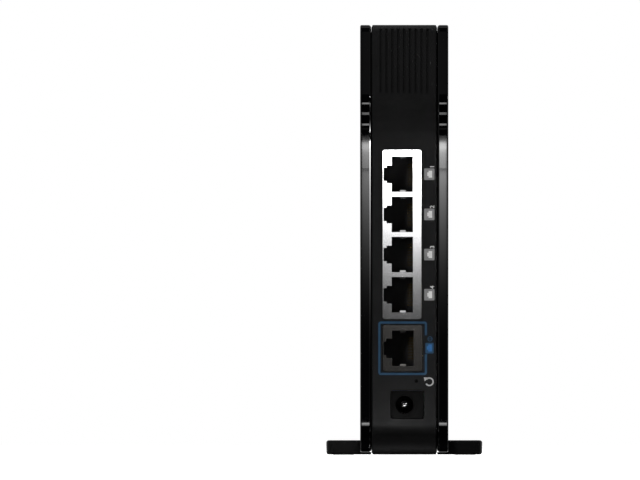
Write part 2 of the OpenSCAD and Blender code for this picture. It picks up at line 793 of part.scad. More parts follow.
module right_antenna_cable() color([0.15, 0.15, 0.16])
    cable([[cable_start_x, connector_y[1], connector_z], [3, -10, 124], [9, 2, 128],
        [cable_end_x, 14, 133]]);

left_side_shell();
right_side_shell();
rear_cover();
top_cover();
front_cover();
bottom_cover();
left_foot();
right_foot();
foot_pads();
foot_screws();
chassis_plate();
case_screws();
main_board();
board_screws();
lan_shield();
lan_housing();
lan_contacts();
wan_shield();
wan_housing();
wan_contacts();
dc_jack_housing();
dc_centre_pin();
dc_spring_contact();
reset_switch_body();
reset_plunger();
button_cap();
button_switch_body();
button_plunger();
light_pipe();
status_leds();
processor_chip();
thermal_pad();
heat_sink();
memory_chips();
flash_chip();
port_switch_chip();
radio_shield_can();
line_transformers();
capacitors();
inductors();
crystal();
antenna_connectors();
left_antenna();
right_antenna();
left_antenna_cable();
right_antenna_cable();
rating_label();
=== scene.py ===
"""Looks for the upright wireless router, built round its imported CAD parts.

Blender works in metres with +Z up and the sockets towards +Y, as the frame does. Lengths named here
are in millimetres, and the functions that make meshes multiply them by MM.
"""

import json
import math

import bmesh
import bpy
from mathutils import Matrix, Vector

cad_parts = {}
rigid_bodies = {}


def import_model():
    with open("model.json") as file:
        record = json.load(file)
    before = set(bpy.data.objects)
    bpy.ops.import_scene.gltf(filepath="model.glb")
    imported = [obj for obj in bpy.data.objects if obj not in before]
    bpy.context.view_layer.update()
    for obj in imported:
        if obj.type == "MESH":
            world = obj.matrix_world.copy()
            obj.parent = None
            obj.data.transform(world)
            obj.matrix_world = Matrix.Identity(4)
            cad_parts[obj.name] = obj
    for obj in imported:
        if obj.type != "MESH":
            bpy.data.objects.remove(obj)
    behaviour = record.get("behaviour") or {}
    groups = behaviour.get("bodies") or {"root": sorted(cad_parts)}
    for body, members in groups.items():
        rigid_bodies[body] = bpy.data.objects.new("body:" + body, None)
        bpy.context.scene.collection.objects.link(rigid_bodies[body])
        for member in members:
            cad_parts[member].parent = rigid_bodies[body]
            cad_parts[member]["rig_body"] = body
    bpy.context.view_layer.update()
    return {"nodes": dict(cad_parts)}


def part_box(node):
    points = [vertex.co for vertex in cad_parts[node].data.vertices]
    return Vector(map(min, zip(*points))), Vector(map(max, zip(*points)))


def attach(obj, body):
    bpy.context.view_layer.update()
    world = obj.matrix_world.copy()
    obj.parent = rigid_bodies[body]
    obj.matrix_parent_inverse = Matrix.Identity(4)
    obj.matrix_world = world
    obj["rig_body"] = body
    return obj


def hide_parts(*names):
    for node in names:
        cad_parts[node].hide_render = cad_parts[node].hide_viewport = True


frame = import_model()
nodes = frame["nodes"]
MM = 0.001


def box_mm(node):
    low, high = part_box(node)
    return low / MM, high / MM


# ---- Driving dimensions, from the frame and from the case's own curves ----

HALF_W = box_mm("right_side_shell")[1].x
BAND_HALF = box_mm("rear_cover")[1].x
CASE_TOP = box_mm("right_side_shell")[1].z
SHELL_BASE = box_mm("right_side_shell")[0].z
BAND_BASE = box_mm("rear_cover")[0].z
HEAD_Y = box_mm("rear_cover")[1].y
HEAD_OVERHANG = 4.5
PANEL_Y = HEAD_Y - HEAD_OVERHANG
WALL = 2.0

NECK_Z = 118.7
NECK_HEIGHT = 13.4
TOP_R = 2.4
BROW_R = 9.0
CHIN_R = 6.0
BOW_R = 860.0
UNDER_R = 5.5
UNDER_TURN = 50.0
WAIST_R = 3.2
WAIST_Z = 4.46
LIP_R = 1.2


def cosd(angle):
    return math.cos(math.radians(angle))


def sind(angle):
    return math.sin(math.radians(angle))


def asind(value):
    return math.degrees(math.asin(value))


def arc(centre, radius, start, end, steps):
    """Points along an arc, angles in degrees."""
    turns = [start + (end - start) * i / steps for i in range(steps + 1)]
    return [(centre[0] + radius * cosd(t), centre[1] + radius * sind(t)) for t in turns]


# ---- Side profile of the case, as (y, z) points, moved inwards by d ----

NECK_TURN = 2 * math.degrees(math.atan(HEAD_OVERHANG / NECK_HEIGHT))
NECK_R = (NECK_HEIGHT ** 2 + HEAD_OVERHANG ** 2) / (4 * HEAD_OVERHANG)
UNDER = (PANEL_Y - UNDER_R, WAIST_Z + (WAIST_R + UNDER_R) * sind(UNDER_TURN))
WAIST = (UNDER[0] + (WAIST_R + UNDER_R) * cosd(UNDER_TURN), WAIST_Z)
BOW = (BOW_R - HEAD_Y, CASE_TOP / 2)


def front_corner(radius, z):
    """Centre of a front corner at height z, and the angle at which it meets the bowed front."""
    turn = asind(abs(z - BOW[1]) / (BOW_R - radius))
    return (BOW[0] - (BOW_R - radius) * cosd(turn), z), turn


def rear_profile(d, base):
    """From the heel up the rear to the top rear corner."""
    lip_turn = asind((WAIST_Z - base - LIP_R) / (WAIST_R + LIP_R))
    lip = (WAIST[0] - (WAIST_R + LIP_R) * cosd(lip_turn), base + LIP_R)
    if d < LIP_R:
        heel = arc(lip, LIP_R - d, -90, lip_turn, 14)
        heel += arc(WAIST, WAIST_R + d, 180 + lip_turn, 180 - UNDER_TURN, 24)[1:]
    else:
        heel = [(WAIST[0] - WAIST_R - d, base + d)] * 15
        heel += arc(WAIST, WAIST_R + d, 180, 180 - UNDER_TURN, 24)[1:]
    neck_low = (PANEL_Y + NECK_R, NECK_Z - NECK_HEIGHT / 2)
    neck_high = (HEAD_Y - NECK_R, NECK_Z + NECK_HEIGHT / 2)
    return (
        heel
        + arc(UNDER, UNDER_R - d, -UNDER_TURN, 0, 24)[1:]
        + arc(neck_low, NECK_R + d, 180, 180 - NECK_TURN, 30)
        + arc(neck_high, NECK_R - d, -NECK_TURN, 0, 30)[1:]
        + arc((HEAD_Y - TOP_R, CASE_TOP - TOP_R), TOP_R - d, 0, 90, 14)
    )


def front_profile(d, base):
    """From the top front corner down the bowed front to the underside."""
    brow, brow_turn = front_corner(BROW_R, CASE_TOP - BROW_R)
    chin, chin_turn = front_corner(CHIN_R, base + CHIN_R)
    return (
        arc(brow, BROW_R - d, 90, 180 - brow_turn, 24)
        + arc(BOW, BOW_R - d, 180 - brow_turn, 180 + chin_turn, 24)[1:]
        + arc(chin, CHIN_R - d, 180 + chin_turn, 270, 18)[1:]
    )


# ---- Making meshes ----

MERGE_DISTANCE = 0.0005
ROD_SIDES = 48
COVER_EDGE = 0.1
COVER_ANGLE = 60
SHADE_ANGLE = 30


def add_object(name, mesh, body="router"):
    obj = bpy.data.objects.new(name, mesh)
    bpy.context.scene.collection.objects.link(obj)
    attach(obj, body)
    return obj


def mesh_from(name, points, faces):
    """A mesh from points in millimetres, with its normals facing out."""
    mesh = bpy.data.meshes.new(name)
    mesh.from_pydata([Vector(p) * MM for p in points], [], faces)
    bm = bmesh.new()
    bm.from_mesh(mesh)
    bmesh.ops.remove_doubles(bm, verts=bm.verts, dist=MERGE_DISTANCE * MM)
    bmesh.ops.recalc_face_normals(bm, faces=bm.faces)
    bm.to_mesh(mesh)
    bm.free()
    return mesh


def shade(obj, sharp_angle=35):
    """Smooth shading with sharp edges kept, and flat faces left looking flat."""
    obj.data.shade_smooth()
    obj.data.set_sharp_from_angle(angle=math.radians(sharp_angle))
    weighted = obj.modifiers.new("weighted", "WEIGHTED_NORMAL")
    weighted.keep_sharp = True
    weighted.weight = 80


def loft(name, rings):
    """A mesh through closed rings of (x, y, z) points, capped at both ends."""
    count = len(rings[0])
    faces = [
        (k * count + i, (k + 1) * count + i, (k + 1) * count + (i + 1) % count, k * count + (i + 1) % count)
        for k in range(len(rings) - 1)
        for i in range(count)
    ]
    faces.append(tuple(range(count)))
    faces.append(tuple((len(rings) - 1) * count + i for i in range(count)))
    return mesh_from(name, [p for ring in rings for p in ring], faces)


def box_points(low, high):
    corners = [(x, y, z) for x in (low[0], high[0]) for y in (low[1], high[1]) for z in (low[2], high[2])]
    faces = [(0, 1, 3, 2), (4, 6, 7, 5), (0, 4, 5, 1), (2, 3, 7, 6), (0, 2, 6, 4), (1, 5, 7, 3)]
    return corners, faces


def rod_points(start, axis, radius, length):
    """A cylinder along X, Y or Z from start."""
    sides = ROD_SIDES
    along = Vector([1.0 if k == axis else 0.0 for k in range(3)])
    across = [Vector([1.0 if k == (axis + step) % 3 else 0.0 for k in range(3)]) for step in (1, 2)]
    turns = [360 * i / sides for i in range(sides)]
    ring = [Vector(start) + radius * (cosd(t) * across[0] + sind(t) * across[1]) for t in turns]
    points = ring + [p + along * length for p in ring]
    faces = [(i, (i + 1) % sides, sides + (i + 1) % sides, sides + i) for i in range(sides)]
    faces += [tuple(range(sides)), tuple(range(sides, 2 * sides))]
    return points, faces


def prism_points(outline, y0, y1):
    """A flat (x, z) outline filling y0 to y1."""
    n = len(outline)
    points = [(x, y, z) for y in (y0, y1) for x, z in outline]
    faces = [(i, (i + 1) % n, n + (i + 1) % n, n + i) for i in range(n)]
    return points, faces + [tuple(range(n)), tuple(range(n, 2 * n))]


def joined(name, shapes):
    """One mesh from several (points, faces) shapes."""
    points, faces = [], []
    for shape_points, shape_faces in shapes:
        faces += [tuple(len(points) + i for i in face) for face in shape_faces]
        points += list(shape_points)
    return mesh_from(name, points, faces)


def apply_modifiers(obj):
    graph = bpy.context.evaluated_depsgraph_get()
    mesh = bpy.data.meshes.new_from_object(obj.evaluated_get(graph))
    obj.modifiers.clear()
    obj.data = mesh


def cut(obj, shapes):
    """Cuts several (points, faces) shapes out of an object."""
    cutter = bpy.data.objects.new("cutter", joined("cutter", shapes))
    bpy.context.scene.collection.objects.link(cutter)
    boolean = obj.modifiers.new("cut", "BOOLEAN")
    boolean.operation = "DIFFERENCE"
    boolean.solver = "EXACT"
    boolean.object = cutter
    apply_modifiers(obj)
    bpy.data.objects.remove(cutter)


def soften(obj, width, angle=50):
    """Rounds the edges sharper than the angle."""
    bm = bmesh.new()
    bm.from_mesh(obj.data)
    bmesh.ops.remove_doubles(bm, verts=bm.verts, dist=MERGE_DISTANCE * MM)
    bmesh.ops.dissolve_limit(bm, angle_limit=math.radians(0.3), verts=bm.verts, edges=bm.edges)
    edges = [e for e in bm.edges if len(e.link_faces) == 2 and e.calc_face_angle(0) > math.radians(angle)]
    bmesh.ops.bevel(
        bm, geom=edges, offset=width * MM, segments=2, profile=0.5, affect="EDGES",
        clamp_overlap=True, miter_outer="ARC",
    )
    bm.to_mesh(obj.data)
    bm.free()


def rebuilt(node, name, material, slot, width, angle=50):
    """A CAD node's own shape with softened edges, standing for the node."""
    obj = add_object(name, nodes[node].data.copy(), nodes[node]["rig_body"])
    if "custom_normal" in obj.data.attributes:
        obj.data.attributes.remove(obj.data.attributes["custom_normal"])
    soften(obj, width, angle)
    shade(obj)
    finish_piece(obj, material, slot, node)


def finish_piece(obj, material, slot, *replaced):
    obj.data.materials.clear()
    obj.data.materials.append(material)
    if replaced:
        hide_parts(*replaced)


# ---- Materials ----

TEXTURE_DETAIL = 2.0
NOISE_LOW, NOISE_HIGH = 0.3, 0.7
SMUDGE_SCALE = 2.5


def texture(tree, kind, scale, stretch=(1, 1, 1)):
    """A procedural texture in the object's own space, scale in features per metre."""
    coordinates = tree.nodes.new("ShaderNodeTexCoord")
    mapping = tree.nodes.new("ShaderNodeMapping")
    mapping.inputs["Scale"].default_value = stretch
    pattern = tree.nodes.new(kind)
    pattern.inputs["Scale"].default_value = scale
    if "Detail" in pattern.inputs:
        pattern.inputs["Detail"].default_value = TEXTURE_DETAIL
    tree.links.new(coordinates.outputs["Object"], mapping.inputs["Vector"])
    tree.links.new(mapping.outputs["Vector"], pattern.inputs["Vector"])
    return pattern


def spread(tree, source, target, low, high):
    """Feeds a texture into a socket, from low to high."""
    span = tree.nodes.new("ShaderNodeMapRange")
    span.inputs["From Min"].default_value = NOISE_LOW
    span.inputs["From Max"].default_value = NOISE_HIGH
    span.inputs["To Min"].default_value = low
    span.inputs["To Max"].default_value = high
    tree.links.new(source, span.inputs["Value"])
    tree.links.new(span.outputs["Result"], target)


def surface(name, colour, roughness, metallic=0.0, tone=0.12, tone_scale=60, rough_change=0.15,
            grain_scale=3000, grain_depth=0.01, stretch=(1, 1, 1), grain_kind="ShaderNodeTexNoise"):
    """A moulded, plated or printed surface: tone and gloss drift a little, and a fine grain raises it."""
    material = bpy.data.materials.new(name)
    material.use_nodes = True
    tree = material.node_tree
    shader = tree.nodes["Principled BSDF"]
    shader.inputs["Metallic"].default_value = metallic
    drift = texture(tree, "ShaderNodeTexNoise", tone_scale)
    blend = tree.nodes.new("ShaderNodeValToRGB")
    blend.color_ramp.elements[0].position = NOISE_LOW
    blend.color_ramp.elements[1].position = NOISE_HIGH
    blend.color_ramp.elements[0].color = (*[c * (1 - tone) for c in colour], 1)
    blend.color_ramp.elements[1].color = (*[min(c * (1 + tone), 1) for c in colour], 1)
    tree.links.new(drift.outputs[0], blend.inputs["Fac"])
    tree.links.new(blend.outputs["Color"], shader.inputs["Base Color"])
    smudge = texture(tree, "ShaderNodeTexNoise", tone_scale * SMUDGE_SCALE, stretch)
    spread(tree, smudge.outputs[0], shader.inputs["Roughness"],
           roughness * (1 - rough_change), roughness * (1 + rough_change))
    grain = texture(tree, grain_kind, grain_scale, stretch)
    bump = tree.nodes.new("ShaderNodeBump")
    bump.inputs["Distance"].default_value = grain_depth * MM
    tree.links.new(grain.outputs[0], bump.inputs["Height"])
    tree.links.new(bump.outputs["Normal"], shader.inputs["Normal"])
    return material


def shader_of(material):
    return material.node_tree.nodes["Principled BSDF"]


GLOSS = surface("gloss_black", (0.0015, 0.0015, 0.0017), 0.05, grain_scale=900, grain_depth=0.0003)
MATT = surface("matt_black", (0.009, 0.009, 0.0092), 0.58, grain_scale=3600, grain_depth=0.012)
FOOT_BLACK = surface("foot_black", (0.005, 0.005, 0.0051), 0.42, grain_scale=2500, grain_depth=0.004)
SOCKET_BLACK = surface("socket_black", (0.040, 0.040, 0.042), 0.5, grain_scale=4000, grain_depth=0.008)
JACK_BLACK = surface("jack_black", (0.003, 0.003, 0.003), 0.6, grain_scale=4000, grain_depth=0.008)
INNER_BLACK = surface("inner_black", (0.02, 0.02, 0.021), 0.6, grain_scale=3000, grain_depth=0.01)
for dull, level in ((MATT, 0.22), (SOCKET_BLACK, 0.25), (FOOT_BLACK, 0.2), (JACK_BLACK, 0.07)):
    shader_of(dull).inputs["Specular IOR Level"].default_value = level
NICKEL = surface("satin_nickel", (0.80, 0.80, 0.81), 0.10, 0.95, tone=0.03, grain_scale=500,
                 grain_depth=0.0025, stretch=(1, 1, 14))
DARK_NICKEL = surface("dark_nickel", (0.22, 0.21, 0.20), 0.18, 0.86, tone=0.06, grain_scale=500,
                      grain_depth=0.003, stretch=(1, 1, 14))
GOLD = surface("gold_plate", (0.83, 0.60, 0.24), 0.25, 0.92, tone=0.08, grain_scale=4000, grain_depth=0.002)
PIN = surface("pin_nickel", (0.85, 0.85, 0.86), 0.18, 1.0, tone=0.03, grain_scale=3000, grain_depth=0.002)
STEEL = surface("zinc_steel", (0.60, 0.60, 0.62), 0.35, 1.0, tone=0.08, grain_scale=3000, grain_depth=0.006)
ALUMINIUM = surface("extruded_aluminium", (0.75, 0.75, 0.77), 0.32, 1.0, tone=0.05, grain_scale=900,
                    grain_depth=0.006, stretch=(1, 1, 0.05))
BOARD = surface("solder_mask", (0.018, 0.11, 0.05), 0.28, tone=0.3, tone_scale=500, grain_scale=1500,
                grain_depth=0.02, grain_kind="ShaderNodeTexVoronoi")
EPOXY = surface("moulded_epoxy", (0.018, 0.018, 0.019), 0.5, grain_scale=5000, grain_depth=0.012)
RUBBER = surface("pad_rubber", (0.022, 0.022, 0.022), 0.8, tone=0.2, grain_scale=2500, grain_depth=0.03)
SILICONE = surface("thermal_silicone", (0.32, 0.38, 0.46), 0.7, grain_scale=2000, grain_depth=0.02)
SLEEVE = surface("capacitor_sleeve", (0.02, 0.03, 0.10), 0.3, grain_scale=1200, grain_depth=0.004)
FERRITE = surface("ferrite", (0.05, 0.05, 0.052), 0.7, tone=0.25, grain_scale=2500, grain_depth=0.03)
IVORY = surface("plunger_ivory", (0.55, 0.50, 0.42), 0.45, tone=0.05, grain_scale=3000, grain_depth=0.006)
SATIN_BLACK = surface("button_satin", (0.012, 0.012, 0.0125), 0.32, grain_scale=3600, grain_depth=0.006)
LABEL = surface("label_film", (0.60, 0.60, 0.59), 0.5, tone=0.03, grain_scale=1800, grain_depth=0.004)
LED_RESIN = surface("led_resin", (0.85, 0.83, 0.72), 0.2, tone=0.04, grain_scale=2000, grain_depth=0.003)
INK_GREY = surface("ink_grey", (0.24, 0.24, 0.24), 0.5, tone=0.1, tone_scale=700, grain_scale=4000)
INK_PALE_GREY = surface("ink_pale_grey", (0.5, 0.5, 0.5), 0.5, tone=0.1, tone_scale=700, grain_scale=4000)
INK_WHITE = surface("ink_white", (0.76, 0.76, 0.75), 0.5, tone=0.08, tone_scale=700, grain_scale=4000)
INK_BLUE = surface("ink_blue", (0.020, 0.060, 0.115), 0.5, tone=0.12, tone_scale=300, grain_scale=4000)
INK_BRIGHT_BLUE = surface("ink_bright_blue", (0.036, 0.14, 0.36), 0.5, tone=0.1, tone_scale=700,
                          grain_scale=4000)
ACRYLIC = surface("clear_acrylic", (0.85, 0.9, 0.95), 0.12, tone=0.02, grain_scale=1500, grain_depth=0.002)
shader_of(ACRYLIC).inputs["Transmission Weight"].default_value = 0.3


# ---- Camera ----

LENS = 1000.0
SENSOR = 36.0
FRAME_WIDTH = 222.4
AIM_X = 29.3
AIM_Z = CASE_TOP / 2
CAMERA_Z = 8.0


def make_camera():
    """A long lens behind the case, level with the wings, with the case right of the middle."""
    data = bpy.data.cameras.new("camera")
    data.lens = LENS
    data.sensor_width = SENSOR
    data.clip_end = 30
    camera = bpy.data.objects.new("camera", data)
    bpy.context.scene.collection.objects.link(camera)
    place = Vector((0, HEAD_Y + FRAME_WIDTH * LENS / SENSOR, CAMERA_Z))
    aim = Vector((AIM_X, PANEL_Y, AIM_Z))
    camera.location = place * MM
    camera.rotation_euler = (aim - place).to_track_quat("-Z", "Y").to_euler()
    bpy.context.scene.camera = camera


# ---- Studio ----

def stage_plane(name, corners, material, seen=False, lights=True):
    mesh = bpy.data.meshes.new(name)
    mesh.from_pydata([Vector(c) * MM for c in corners], [], [(0, 1, 2, 3)])
    mesh.materials.append(material)
    obj = bpy.data.objects.new(name, mesh)
    bpy.context.scene.collection.objects.link(obj)
    obj.visible_camera = seen
    obj.visible_shadow = False
    obj.visible_glossy = lights
    obj.visible_diffuse = False
    obj.visible_transmission = lights


def math_node(tree, operation, first, second=None):
    node = tree.nodes.new("ShaderNodeMath")
    node.operation = operation
    for socket, value in zip(node.inputs, (first, second)):
        if value is None:
            continue
        if isinstance(value, (int, float)):
            socket.default_value = value
        else:
            tree.links.new(value, socket)
    return node.outputs[0]


def ramp_node(tree, value, low, high, to_low=0.0, to_high=1.0):
    node = tree.nodes.new("ShaderNodeMapRange")
    node.interpolation_type = "SMOOTHSTEP"
    node.inputs["From Min"].default_value = low
    node.inputs["From Max"].default_value = high
    node.inputs["To Min"].default_value = to_low
    node.inputs["To Max"].default_value = to_high
    tree.links.new(value, node.inputs["Value"])
    return node.outputs["Result"]


CARD_DISTANCE = 230
CARD_Y = PANEL_Y + CARD_DISTANCE
CARD_HALF_X = HALF_W + 1.2
RAY_RISE = (AIM_Z - CAMERA_Z) / (FRAME_WIDTH * LENS / SENSOR)
CARD_TOP = 112.2
CARD_FOOT = 12.5
CARD_GRADE = 96.0
CARD_POWER = 5.0
CARD_EDGE = (109.0, 110.2, 0.75)
CARD_CUT = 0.6
CARD_SPAN = 16.0


def card_material(name, power, side_change):
    """A softbox that fades from its bright upper edge down to nothing, a little brighter at -X."""
    material = bpy.data.materials.new(name)
    material.use_nodes = True
    tree = material.node_tree
    tree.nodes.clear()
    place = tree.nodes.new("ShaderNodeTexCoord")
    split = tree.nodes.new("ShaderNodeSeparateXYZ")
    tree.links.new(place.outputs["Object"], split.inputs[0])
    height = math_node(tree, "MULTIPLY", split.outputs["Z"], 1 / MM)
    share = math_node(tree, "DIVIDE", math_node(tree, "SUBTRACT", height, CARD_FOOT), CARD_GRADE)
    fade = math_node(tree, "POWER", math_node(tree, "MAXIMUM", share, 0.0), CARD_POWER)
    edge_low, edge_high, edge_gain = CARD_EDGE
    fade = math_node(tree, "ADD", fade, ramp_node(tree, height, edge_low, edge_high, 0.0, edge_gain))
    trim = ramp_node(tree, height, CARD_TOP, CARD_TOP + CARD_CUT, 1.0, 0.0)
    fade = math_node(tree, "MULTIPLY", fade, trim)
    across = math_node(tree, "MULTIPLY", split.outputs["X"], 1 / MM)
    sideways = ramp_node(tree, across, -CARD_SPAN, CARD_SPAN, 1 + side_change, 1 - side_change)
    strength = math_node(tree, "MULTIPLY", math_node(tree, "MULTIPLY", fade, sideways), power)
    emission = tree.nodes.new("ShaderNodeEmission")
    output = tree.nodes.new("ShaderNodeOutputMaterial")
    tree.links.new(strength, emission.inputs["Strength"])
    tree.links.new(emission.outputs[0], output.inputs["Surface"])
    return material


def glow_material(name, strength):
    material = bpy.data.materials.new(name)
    material.use_nodes = True
    tree = material.node_tree
    tree.nodes.clear()
    emission = tree.nodes.new("ShaderNodeEmission")
    emission.inputs["Strength"].default_value = strength
    output = tree.nodes.new("ShaderNodeOutputMaterial")
    tree.links.new(emission.outputs[0], output.inputs["Surface"])
    return material


def rising_plane(name, near, far, z, half_x, material):
    """A sheet from near to far behind the panel, rising with RAY_RISE: z is its height at the panel."""
    corners = [(x, PANEL_Y + y, z + RAY_RISE * y) for x, y in
               ((-half_x, near), (half_x, near), (half_x, far), (-half_x, far))]
    stage_plane(name, corners, material)


def upright_plane(name, half_x, y, z0, z1, material):
    """An upright sheet facing the case's rear, from -half_x to half_x."""
    stage_plane(name, [(-half_x, y, z0), (half_x, y, z0), (half_x, y, z1), (-half_x, y, z1)], material)


def make_cards():
    """A graded softbox behind the case, flags that trim it, a side card, and strips for the low edges.

    Reflections see them and the camera doesn't. They give the gloss shells and the shields their bands.
    """
    half_x = CARD_HALF_X
    upright_plane("rear_softbox", half_x, CARD_Y, 28, 114, card_material("rear_card", 7.6, 0.2))
    flag = glow_material("flag", 0.0)
    rising_plane("upper_flag", 24, 228, 110.9, half_x, flag)
    rising_plane("middle_flag", 60, 228, 100.0, half_x, flag)
    rising_plane("lower_flag", 45, 229, 27.6, half_x, flag)
    side_card = card_material("side_card", 42.0, 0.0)
    x = -110
    stage_plane("side_softbox", [(x, 70, 0), (x, 125, 0), (x, 125, 112), (x, 70, 112)], side_card)
    near, far = 130, 173
    rising_plane("low_strip", near, far, 28.6, HALF_W + 0.4, glow_material("low_strip", 4.6))
    upright_plane("strip_lip", half_x, PANEL_Y + near - 3, 28.6, 28.6 + 5, flag)
    upright_plane("head_card", half_x, CARD_Y, 127, 158, glow_material("head_card", 0.1))
    x0, x1, y0, y1, z = -105, -HALF_W - 2, PANEL_Y + 2, PANEL_Y + 75, 111.2
    stage_plane("side_flag", [(x0, y0, z), (x1, y0, z), (x1, y1, z), (x0, y1, z)], flag)
    stage_plane("top_card", [(-300, 60, 1000), (300, 60, 1000), (300, 300, 1000), (-300, 300, 1000)],
                glow_material("top_card", 0.6))
    x1, y = -HALF_W - 0.4, PANEL_Y + 1.5
    stage_plane("side_shade", [(x0, y, 0), (x1, y, 0), (x1, y, 115), (x0, y, 115)], flag)
    y0, y1, x = PANEL_Y + 25, PANEL_Y + 50, HALF_W + 0.1
    stage_plane("floor_strip", [(-x, y0, 0.5), (x, y0, 0.5), (x, y1, 0.5), (-x, y1, 0.5)],
                glow_material("floor_strip", 2.6))
    upright_plane("heel_strip", x, y0, 5.5, 11.2, glow_material("heel_strip", 6.5))
    upright_plane("heel_flag", x, PANEL_Y + 6, 0, 7.9, flag)


def make_floor():
    """A plain pale floor that takes the soft shadows."""
    material = surface("pale_floor", (0.86, 0.86, 0.86), 0.9, tone=0.01, tone_scale=3, grain_scale=200)
    shader = shader_of(material)
    shader.inputs["Emission Color"].default_value = (1, 1, 1, 1)
    shader.inputs["Emission Strength"].default_value = 0.9
    shader.inputs["Specular IOR Level"].default_value = 0.0
    size = 4000
    stage_plane("floor", [(-size, -size, 0), (size, -size, 0), (size, size, 0), (-size, size, 0)],
                material, seen=True, lights=False)


def make_world():
    """White to the camera. To all other rays: a pale room in front, dim sides and a dark rear wall."""
    world = bpy.data.worlds.new("world")
    bpy.context.scene.world = world
    world.use_nodes = True
    tree = world.node_tree
    tree.nodes.clear()
    place = tree.nodes.new("ShaderNodeTexCoord")
    split = tree.nodes.new("ShaderNodeSeparateXYZ")
    tree.links.new(place.outputs["Generated"], split.inputs[0])
    front = ramp_node(tree, split.outputs["Y"], -0.3, 0.15, 0.9, 0.0)
    sides = ramp_node(tree, math_node(tree, "ABSOLUTE", split.outputs["X"]), 0.15, 0.5, 0.003, 0.12)
    room = math_node(tree, "ADD", front, sides)
    room = math_node(tree, "MULTIPLY", room, ramp_node(tree, split.outputs["Z"], -0.85, -0.6))
    room = math_node(tree, "MULTIPLY", room, ramp_node(tree, split.outputs["Z"], 0.35, 0.8, 1.0, 0.3))
    path = tree.nodes.new("ShaderNodeLightPath")
    seen = path.outputs["Is Camera Ray"]
    unseen = math_node(tree, "SUBTRACT", 1.0, seen)
    strength = math_node(tree, "ADD", math_node(tree, "MULTIPLY", room, unseen), seen)
    background = tree.nodes.new("ShaderNodeBackground")
    output = tree.nodes.new("ShaderNodeOutputWorld")
    background.inputs["Color"].default_value = (1, 1, 1, 1)
    tree.links.new(strength, background.inputs["Strength"])
    tree.links.new(background.outputs[0], output.inputs["Surface"])


def area_light(name, place, aim, size, power):
    data = bpy.data.lights.new(name, "AREA")
    data.shape = "RECTANGLE"
    data.size, data.size_y = size
    data.energy = power
    light = bpy.data.objects.new(name, data)
    bpy.context.scene.collection.objects.link(light)
    light.location = place
    light.rotation_euler = (Vector(aim) - Vector(place)).to_track_quat("-Z", "Y").to_euler()
    light.visible_camera = False
    return light


def make_lights():
    middle = (0, 0, 0.07)
    key = area_light("key", (0, 0.7, 1.6), middle, (1.0, 0.6), 24)
    key.visible_glossy = False
    low_fill = area_light("low_fill", (1.25, 1.8, 0.3), middle, (0.35, 0.5), 17)
    low_fill.visible_glossy = False
    area_light("rear_left", (0.9, 1.1, 0.7), middle, (0.7, 0.5), 0.5)
    area_light("rear_right", (-0.9, 1.1, 0.7), middle, (0.7, 0.5), 0.5)
    overhead = area_light("overhead", (0, -0.5, 1.5), middle, (1.2, 1.2), 14)
    overhead.visible_glossy = False


# ---- Side shells and covers ----

SEAM_X = BAND_HALF + 0.1
EDGE_R = 0.55
SHELL_LINE = [(SEAM_X, 1.0), (SEAM_X + 0.12, 0.55), (SEAM_X + 0.2, 0.32), (SEAM_X + 0.5, 0.1),
              (SEAM_X + 0.62, 0.02), (SEAM_X + 0.72, 0.0)]


def case_ring(x, d):
    return [(x, y, z) for y, z in rear_profile(d, SHELL_BASE) + front_profile(d, SHELL_BASE)]


def make_shell(name, side, node):
    """One gloss shell: a 2 mm wall, a softened inner rim at the seam and a rounded outer edge."""
    inner_x = HALF_W - WALL
    line = [(inner_x, WALL), (SEAM_X, WALL)] + SHELL_LINE
    line += [(HALF_W - EDGE_R + EDGE_R * sind(a), EDGE_R * (1 - cosd(a))) for a in range(0, 91, 9)]
    mesh = loft(name, [case_ring(side * x, d) for x, d in line])
    shell = add_object(name, mesh)
    shade(shell, SHADE_ANGLE)
    finish_piece(shell, GLOSS, "gloss_black_plastic", node)


BAND_BEVEL = 0.45
BAND_INSET = 0.9
BAND_LINE = [(BAND_HALF, BAND_INSET), (BAND_HALF - BAND_BEVEL + 0.1, 0.12),
             (BAND_HALF - BAND_BEVEL - 0.06, 0.0)]
REAR_SPLIT_Y = 40.0
TOP_SPLIT_Y = 49.0
FRONT_SPLIT_Y = -45.0
SPLIT_GAP = 0.1


def band_piece(name, path, material, slot, node):
    """A cover of the middle band: its 2 mm section swept along path(d), which gives (y, z) points."""
    half = [(BAND_HALF, WALL)] + BAND_LINE
    section = [(-x, d) for x, d in half] + list(reversed(half))
    count = len(section)
    length = len(path(0.0))
    rows = [[(x, y, z) for y, z in path(d)] for x, d in section]
    faces = [
        (k * length + i, ((k + 1) % count) * length + i,
         ((k + 1) % count) * length + i + 1, k * length + i + 1)
        for k in range(count)
        for i in range(length - 1)
    ]
    faces.append(tuple(k * length for k in range(count)))
    faces.append(tuple(k * length + length - 1 for k in range(count)))
    obj = add_object(name, mesh_from(name, [p for row in rows for p in row], faces))
    finish_piece(obj, material, slot, node)
    return obj


def rear_path(d):
    return [(REAR_SPLIT_Y, BAND_BASE + d)] + rear_profile(d, BAND_BASE) + [(TOP_SPLIT_Y, CASE_TOP - d)]


def front_path(d):
    return ([(FRONT_SPLIT_Y, CASE_TOP - d)] + front_profile(d, BAND_BASE)
            + [(-REAR_SPLIT_Y, BAND_BASE + d)])


def top_path(d):
    return [(TOP_SPLIT_Y - SPLIT_GAP, CASE_TOP - d), (FRONT_SPLIT_Y + SPLIT_GAP, CASE_TOP - d)]


def bottom_path(d):
    return [(-REAR_SPLIT_Y + SPLIT_GAP, BAND_BASE + d), (REAR_SPLIT_Y - SPLIT_GAP, BAND_BASE + d)]


def round_rect(x0, z0, x1, z1, radius, steps=5):
    return (
        arc((x1 - radius, z0 + radius), radius, -90, 0, steps)
        + arc((x1 - radius, z1 - radius), radius, 0, 90, steps)
        + arc((x0 + radius, z1 - radius), radius, 90, 180, steps)
        + arc((x0 + radius, z0 + radius), radius, 180, 270, steps)
    )


